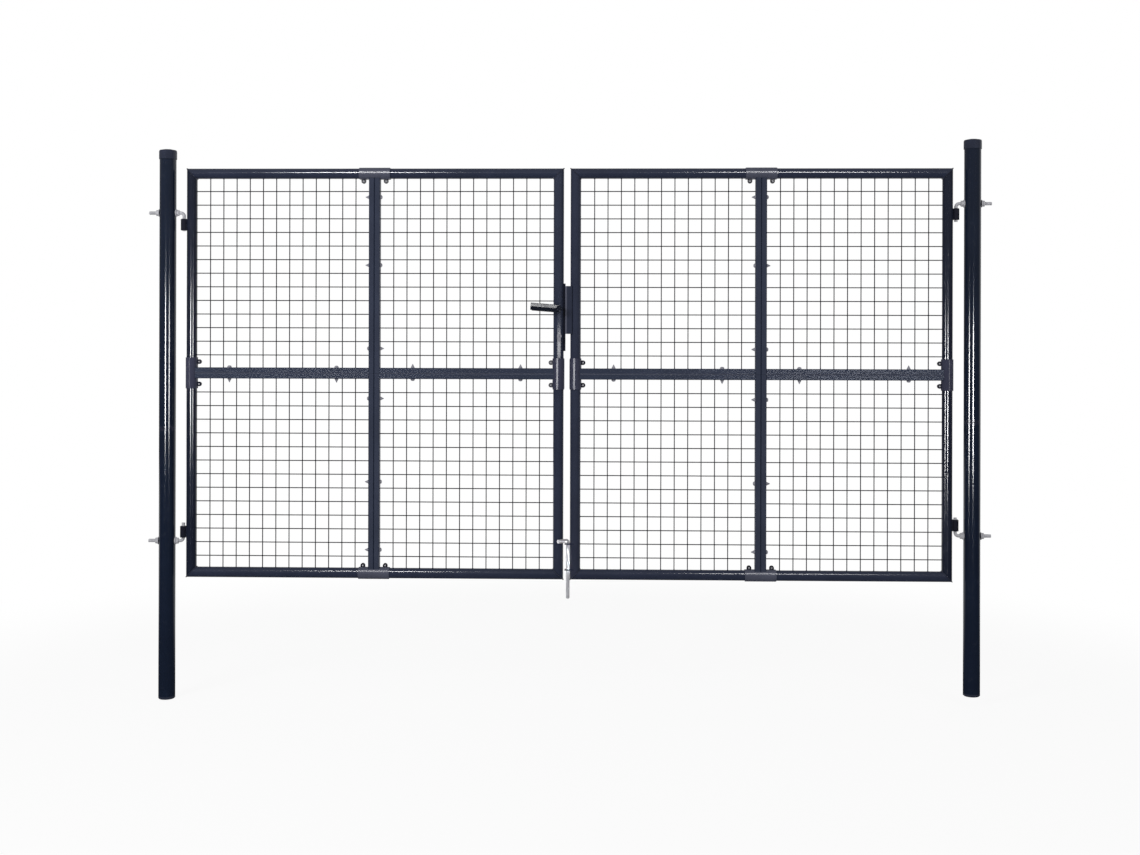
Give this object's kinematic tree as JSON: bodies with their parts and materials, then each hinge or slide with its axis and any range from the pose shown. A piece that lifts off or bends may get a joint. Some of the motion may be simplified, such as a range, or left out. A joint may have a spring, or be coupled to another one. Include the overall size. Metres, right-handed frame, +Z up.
{
  "type": "mesh garden gate",
  "caption": "Two-leaf garden gate with round steel posts, bolted tube-framed wire mesh leaves, hook hinges, lever lock and drop bolt.",
  "frame": {"origin": "middle of the left post's foot, on its bottom face", "axes": "+X towards the right post, +Y away from the viewer and through the gateway, +Z up"},
  "size_m": [3.074, 0.116, 2.0515],
  "materials": {
    "anthracite": "glossy dark blue-grey powder coat",
    "wire": "dark grey coated welded wire",
    "black_cap": "dark moulded plastic cap",
    "zinc": "zinc-plated steel",
    "dark_steel": "dark coated steel",
    "nickel": "satin nickel",
    "lever_black": "dark satin lever"
  },
  "bodies": {
    "posts": {"left_post_foot": "black_cap", "left_post_lower": "anthracite", "left_post_upper": "anthracite", "left_post_cap": "black_cap", "left_hinge_hooks": "zinc", "left_hinge_nuts": "zinc", "right_post_foot": "black_cap", "right_post_lower": "anthracite", "right_post_upper": "anthracite", "right_post_cap": "black_cap", "right_hinge_hooks": "zinc", "right_hinge_nuts": "zinc"},
    "left_leaf": {"left_leaf_top_rail": "anthracite", "left_leaf_bottom_rail": "anthracite", "left_leaf_hinge_stile": "anthracite", "left_leaf_lock_stile": "anthracite", "left_leaf_mullion": "anthracite", "left_leaf_crossbar": "anthracite", "left_leaf_mesh_low_left": "wire", "left_leaf_mesh_low_right": "wire", "left_leaf_mesh_high_left": "wire", "left_leaf_mesh_high_right": "wire", "left_leaf_rail_clamps": "anthracite", "left_leaf_stile_clamps": "anthracite", "left_leaf_hinge_lugs": "anthracite", "lock_case": "dark_steel", "key_cylinder": "nickel"},
    "right_leaf": {"right_leaf_top_rail": "anthracite", "right_leaf_bottom_rail": "anthracite", "right_leaf_hinge_stile": "anthracite", "right_leaf_lock_stile": "anthracite", "right_leaf_mullion": "anthracite", "right_leaf_crossbar": "anthracite", "right_leaf_mesh_low_left": "wire", "right_leaf_mesh_low_right": "wire", "right_leaf_mesh_high_left": "wire", "right_leaf_mesh_high_right": "wire", "right_leaf_rail_clamps": "anthracite", "right_leaf_stile_clamps": "anthracite", "right_leaf_hinge_lugs": "anthracite", "lock_keep": "dark_steel", "drop_bolt_guides": "anthracite"},
    "lever": {"lock_levers": "lever_black"},
    "drop_bolt": {"drop_bolt_rod": "zinc"}
  },
  "joints": [
    {"name": "left_leaf_hinge", "type": "hinge", "parent": "posts", "child": "left_leaf", "pos_m": [0.06, 0, 0.6125], "axis": [0, 0, 1], "range_deg": [0, 90]},
    {"name": "right_leaf_hinge", "type": "hinge", "parent": "posts", "child": "right_leaf", "pos_m": [2.878, 0, 0.6515], "axis": [0, 0, 1], "range_deg": [0, 90]},
    {"name": "lever_turn", "type": "hinge", "parent": "left_leaf", "child": "lever", "pos_m": [1.4415, 0, 1.4335], "axis": [0, -1, 0], "range_deg": [0, 40], "stiffness_Nm_per_rad": 1.2, "springref_deg": -28.65},
    {"name": "drop_bolt_lift", "type": "slide", "parent": "right_leaf", "child": "drop_bolt", "axis": [0, 0, 1], "range_m": [0, 0.09]}
  ]
}
